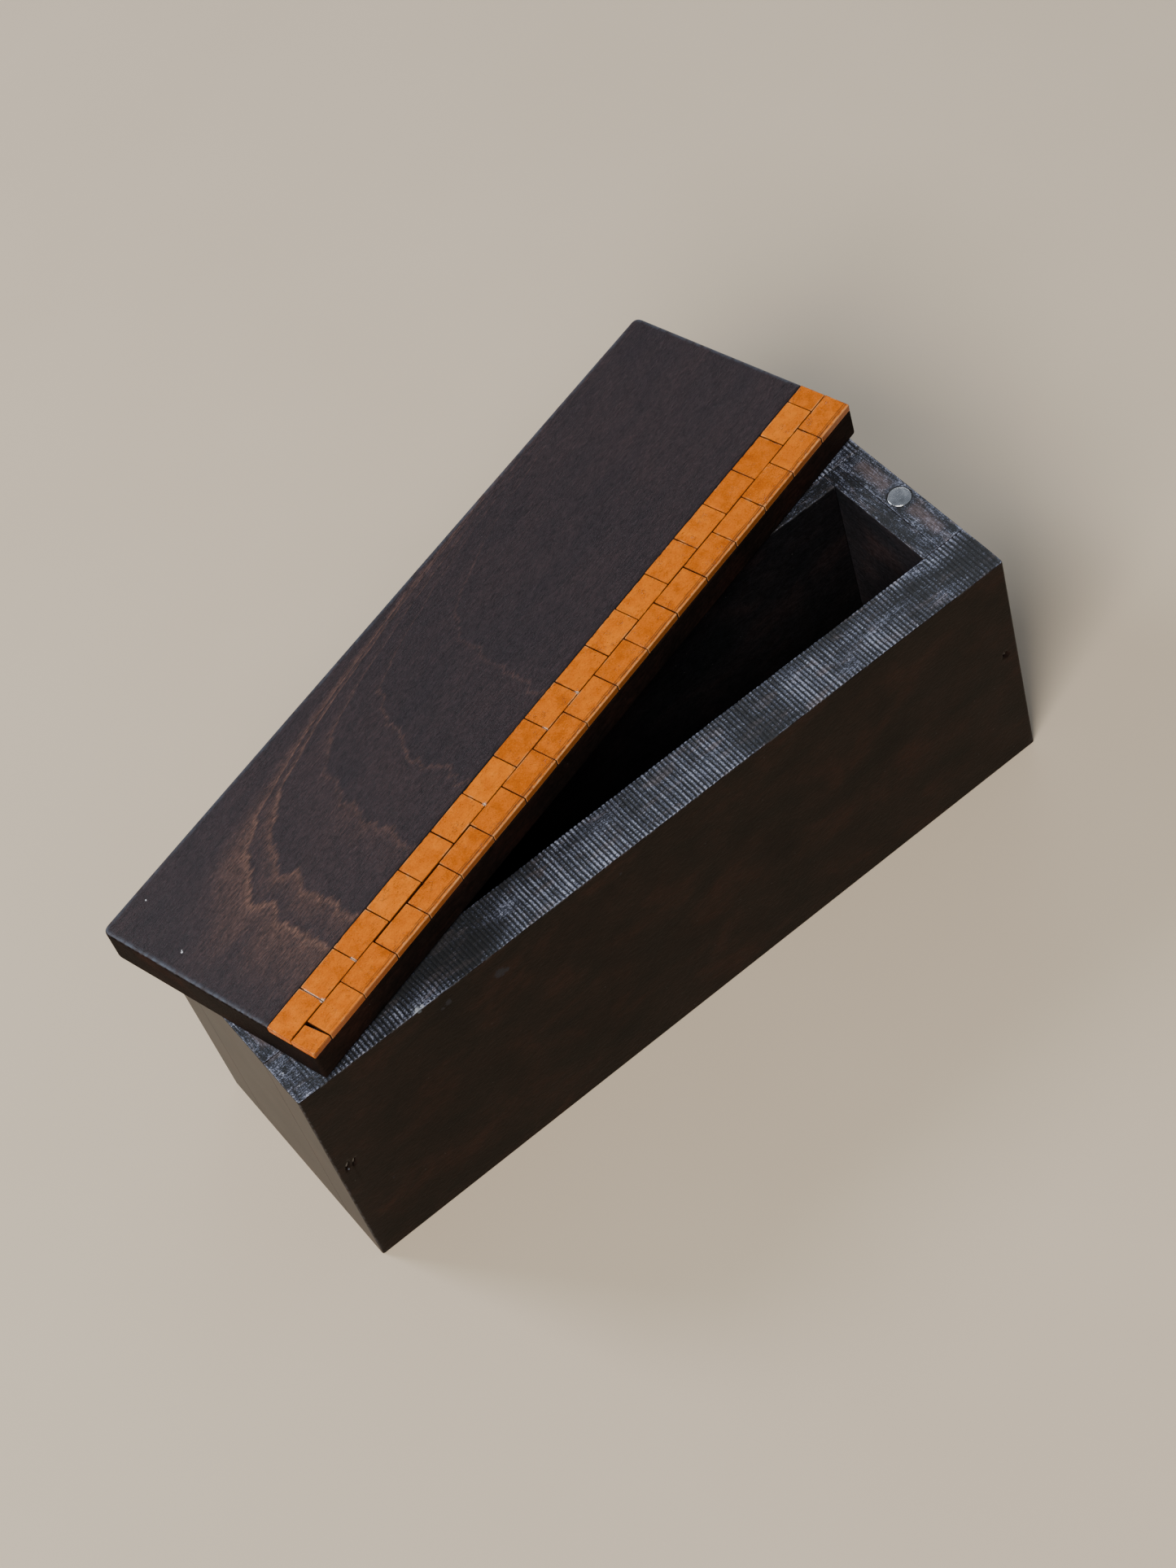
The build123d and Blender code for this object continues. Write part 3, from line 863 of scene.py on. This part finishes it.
def make_brick(node, number):
    """One little brick, laid by hand: its size, lie and edges differ a little from the next."""
    spot = node.removeprefix("brick_")
    low, high = box_in(node, LID_PLACE)
    hand = np.random.default_rng(500 + number)
    outer_row = low[1] < (brick_low[1] + lid_low[1]) / 2
    low[:2] += hand.uniform(-0.03, 0.04, 2) * MM
    high[:2] -= hand.uniform(-0.03, 0.04, 2) * MM
    high[2] -= hand.uniform(0.0, 0.10) * MM
    usual_fit = (hand.uniform(0.09, 0.16), 0.0, hand.uniform(0.0, 0.08))
    edge, trim, far_skew = LOOSE_FIT.get(spot, usual_fit)
    edge *= MM
    high[1] -= trim * MM
    corner_radii = hand.uniform(0.10, 0.26, (2, 2)) * MM
    xs = marks(low[0], high[0], 0.6 * MM, (edge, corner_radii.max()))
    ys = marks(low[1], high[1], 0.6 * MM, (edge, corner_radii.max()))
    zs = marks(low[2], high[2], 0.5 * MM, (edge,))
    points, sheets = block_grid(xs, ys, zs)
    shaped, edge_distance = soften(points.copy(), low, high, corner_radii, edge)
    x, y, z = points.T
    dish = patches(x, y, 2.6 * MM, 2.0 * MM, 40 + number)
    shaped[:, 2] -= 0.025 * MM * (1 + dish) * (z > low[2] + 0.5 * MM)
    nick = np.clip(patches(x, y, 0.9 * MM, 0.9 * MM, 140 + number) - 0.55, 0, 1)
    rim = (z > high[2] - 2 * edge) * np.clip(1 - edge_distance / (0.35 * MM), 0, 1)
    shaped[:, 2] -= 0.5 * MM * nick * rim
    # the far end is cut out of square, and the whole brick lies slightly turned
    along = (x - low[0]) / (high[0] - low[0])
    across = (y - low[1]) / (high[1] - low[1])
    shaped[:, 0] -= far_skew * MM * along * across
    turn = hand.uniform(-0.25, 0.25) * math.pi / 180
    middle = (low + high) / 2
    away = shaped[:, :2] - middle[:2]
    shaped[:, 0] -= away[:, 1] * turn
    shaped[:, 1] += away[:, 0] * turn
    whole = high[0] - low[0] > 6 * MM
    at_strip_end = (x < lid_low[0] + 0.4 * MM) | (x > lid_high[0] - 0.4 * MM)
    on_outer_face = outer_row & (y - low[1] < 0.02 * MM)
    values = {
        "joint_depth": np.where(at_strip_end | on_outer_face, 0.0, high[2] - z),
        "edge_distance": edge_distance,
        "tone": hand.uniform(0.02, 0.26),
        "inside_outer_edge": y - low[1] if outer_row else 9.0,
        "rubbed": RUB.get(spot, 1.0) * (outer_row and whole),
        "glue": glue_at(spot, low, high, points),
    }
    piece = build(node + "_clay", shaped, sheets, (0, 0, 0), [brick_finish], values, LID_PLACE)
    return stand_for(piece, LID_BODY, node)


# ---------------- turned metal
TURNED_SIDES = 64
MAGNET_EDGE = 0.3 * MM
PIN_EDGE = 0.4 * MM


def turned(profile):
    """Points and faces of a closed turned shape. The profile runs from tip to tip as
    pairs of radius and height, and both of its ends lie on the axis."""
    angles = np.linspace(0, 2 * math.pi, TURNED_SIDES, endpoint=False)
    points = [(0.0, 0.0, profile[0][1])]
    for radius, height in profile[1:-1]:
        points += [(radius * math.cos(a), radius * math.sin(a), height) for a in angles]
    points.append((0.0, 0.0, profile[-1][1]))
    faces = []
    last = len(points) - 1
    rings = len(profile) - 2
    for side in range(TURNED_SIDES):
        beside = (side + 1) % TURNED_SIDES
        faces.append((0, 1 + beside, 1 + side))
        for ring in range(rings - 1):
            below, above = 1 + ring * TURNED_SIDES, 1 + (ring + 1) * TURNED_SIDES
            faces.append((below + side, below + beside, above + beside, above + side))
        top = 1 + (rings - 1) * TURNED_SIDES
        faces.append((top + side, top + beside, last))
    return np.array(points), faces


def disc_profile(radius, height, edge):
    """Half the section of a disc with rounded edges, from its underside to its top."""
    arc = [math.pi / 2 * step / 4 for step in range(5)]
    lower = [(radius - edge + edge * math.sin(a), edge - edge * math.cos(a)) for a in arc]
    upper = [(radius - edge + edge * math.cos(a), height - edge + edge * math.sin(a)) for a in arc]
    return [(0.0, 0.0)] + lower + upper + [(0.0, height)]


def metal_piece(name, points, faces, finish, place):
    mesh = bpy.data.meshes.new(name)
    mesh.from_pydata(placed(points, place).tolist(), [], faces)
    mesh.materials.append(finish)
    mesh.shade_smooth()
    return add(name, mesh)


def round_size(node, place):
    """The middle of an upright round node's underside, its radius and its height."""
    low, high = box_in(node, place)
    radius = (high[0] - low[0]) / 2
    return np.array([low[0] + radius, (low[1] + high[1]) / 2, low[2]]), radius, high[2] - low[2]


def make_disc(node, body, place, finish, edge):
    """A round piece that stands upright in the frame: a magnet or the pin."""
    foot, radius, height = round_size(node, place)
    points, faces = turned(disc_profile(radius, height, edge))
    piece = metal_piece(node + "_metal", points + foot, faces, finish, place)
    return stand_for(piece, body, node)


# ---------------- holes for pin and magnets
RUNNING_FIT = 0.05 * MM
MAGNET_FIT = 0.03 * MM
TIGHT_FIT = 0.01 * MM
PIN_END_SPACE = 0.6 * MM
THROUGH_FACE = 1.0 * MM


def bore(piece, node, place, clearance, below, above):
    """Cut a round hole for an upright round piece, wider than it by a clearance all round.

    The hole goes as far below and above the piece as the last two values say.
    """
    foot, radius, height = round_size(node, place)
    radius, bottom, top = radius + clearance, -below, height + above
    points, faces = turned([(0.0, bottom), (radius, bottom), (radius, top), (0.0, top)])
    cutter = metal_piece(node + "_cutter", points + foot, faces, steel, place)
    cut = piece.modifiers.new("bore", "BOOLEAN")
    cut.operation = "DIFFERENCE"
    cut.solver = "EXACT"
    cut.object = cutter
    bpy.context.view_layer.update()
    solid_mesh = piece.data
    graph = bpy.context.evaluated_depsgraph_get()
    piece.data = bpy.data.meshes.new_from_object(piece.evaluated_get(graph))
    piece.modifiers.clear()
    bpy.data.objects.remove(cutter)
    bpy.data.meshes.remove(solid_mesh)
    # the hole's rims are sharp, so that the wood around them stays flat in shading
    mesh = piece.data
    points = np.array([vertex.co for vertex in mesh.vertices])
    from_axis = np.hypot(*(points - placed(foot, place))[:, :2].T)
    on_bore = np.abs(from_axis - radius) < 0.02 * MM
    ends = np.array([edge.vertices for edge in mesh.edges])
    rise = np.abs(points[ends[:, 0], 2] - points[ends[:, 1], 2])
    sharp = on_bore[ends[:, 0]] & on_bore[ends[:, 1]] & (rise < 0.3 * MM)
    layer = mesh.attributes.get("sharp_edge") or mesh.attributes.new("sharp_edge", "BOOLEAN", "EDGE")
    layer.data.foreach_set("value", sharp)


# ---------------- putting it together
make_long_wall("brick_side_wall", -1, 11)
make_long_wall("plain_side_wall", 1, 21)

for seed, node, held, clearance, below in (
    (51, "pivot_end_wall", "pivot_pin", RUNNING_FIT, PIN_END_SPACE),
    (52, "magnet_end_wall", "box_magnet", MAGNET_FIT, TIGHT_FIT),
):
    wall = make_board(node, wall_along_y, rim_along_y, TIGHT_CORNER, seed, pale_stripe=1.0)
    bore(wall, held, BOX_PLACE, clearance, below, THROUGH_FACE)
for seed, node in ((61, "pivot_end_liner"), (62, "magnet_end_liner")):
    make_board(node, inside_along_y, rim_along_y, BOARD_EDGE, seed,
               rim_level=LINER_RIM_LEVEL)
make_board("plain_side_liner", inside_along_x, rim_along_x, BOARD_EDGE, 63,
           rim_level=LINER_RIM_LEVEL)
make_board("base_panel", base_finish, None, BOARD_EDGE, 64, spacing=6 * MM)

# the pin reaches below the lid by itself, and the magnet's cutter is made to
lid_board = make_lid_panel()
bore(lid_board, "pivot_pin", LID_PLACE, TIGHT_FIT, 0.0, TIGHT_FIT)
bore(lid_board, "lid_magnet", LID_PLACE, MAGNET_FIT, THROUGH_FACE, TIGHT_FIT)
brick_nodes = sorted(name for name in frame["nodes"] if name.startswith(("brick_outer", "brick_inner")))
for number, node in enumerate(brick_nodes):
    make_brick(node, number)

make_disc("box_magnet", BOX_BODY, BOX_PLACE, nickel, MAGNET_EDGE)
make_disc("lid_magnet", LID_BODY, LID_PLACE, nickel, MAGNET_EDGE)
make_disc("pivot_pin", LID_BODY, LID_PLACE, steel, PIN_EDGE)
brad_materials = frame["nodes"]["wall_brads"].data.materials
brad_materials.clear()
brad_materials.append(steel)


# ---------------- studio
CAMERA_AZIMUTH = 68.84
CAMERA_ELEVATION = 52.77
CAMERA_ROLL = 20.18
CAMERA_DISTANCE = 658.7 * MM
CAMERA_LENS = 75.5
AIM_FROM_MIDDLE = Vector((4.0, 11.6, 0.0)) * MM


def make_floor():
    """A wide pale floor with the faint unevenness of painted board."""
    mesh = bpy.data.meshes.new("floor")
    reach = 6.0
    mesh.from_pydata([(-reach, -reach, 0), (reach, -reach, 0), (reach, reach, 0),
                      (-reach, reach, 0)], [], [(0, 1, 2, 3)])
    paint = Recipe("floor_paint")
    cloud = paint.noise((60, 60, 60), detail=3)
    colour = paint.blend(cloud, (0.60, 0.495, 0.365), (0.64, 0.535, 0.405))
    mesh.materials.append(paint.finish(colour, 0.6))
    add("floor", mesh)


def make_lamp(name, direction, distance, size, power, colour=(1, 1, 1)):
    """A square soft light that faces the middle of the box."""
    lamp = bpy.data.lights.new(name, "AREA")
    lamp.size = size
    lamp.energy = power
    lamp.color = colour
    holder = add(name, lamp)
    direction = Vector(direction).normalized()
    holder.location = direction * distance
    holder.rotation_mode = "QUATERNION"
    holder.rotation_quaternion = (-direction).to_track_quat("-Z", "Y")


def make_world():
    world = bpy.data.worlds.new("studio")
    world.use_nodes = True
    background = world.node_tree.nodes["Background"]
    background.inputs["Color"].default_value = (0.80, 0.88, 1.0, 1)
    background.inputs["Strength"].default_value = 0.32
    bpy.context.scene.world = world


def make_camera():
    """The camera looks down along the box from the pivot end, tilted to one side."""
    azimuth, elevation = math.radians(CAMERA_AZIMUTH), math.radians(CAMERA_ELEVATION)
    flat = -math.cos(elevation)
    back = Vector((math.cos(azimuth) * flat, math.sin(azimuth) * flat, math.sin(elevation)))
    aim = Vector((0, 0, rim_level / 2)) + AIM_FROM_MIDDLE
    lens = bpy.data.cameras.new("camera")
    lens.sensor_width = 36
    lens.lens = CAMERA_LENS
    lens.clip_start = 0.01
    camera = add("camera", lens)
    camera.location = aim + back * CAMERA_DISTANCE
    camera.rotation_mode = "QUATERNION"
    roll = Quaternion((0, 0, 1), -math.radians(CAMERA_ROLL))
    camera.rotation_quaternion = (-back).to_track_quat("-Z", "Y") @ roll
    bpy.context.scene.camera = camera


make_floor()
make_world()
make_lamp("key", (-0.62, -0.48, 0.75), 2.6, 1.2, 84, (1.0, 0.95, 0.88))
make_lamp("sheen", (-0.42, 0.62, 0.66), 1.4, 0.35, 9, (0.86, 0.92, 1.0))
make_lamp("fill", (0.66, 0.74, 0.14), 1.8, 0.6, 5, (0.95, 0.97, 1.0))
make_camera()

bpy.context.view_layer.update()
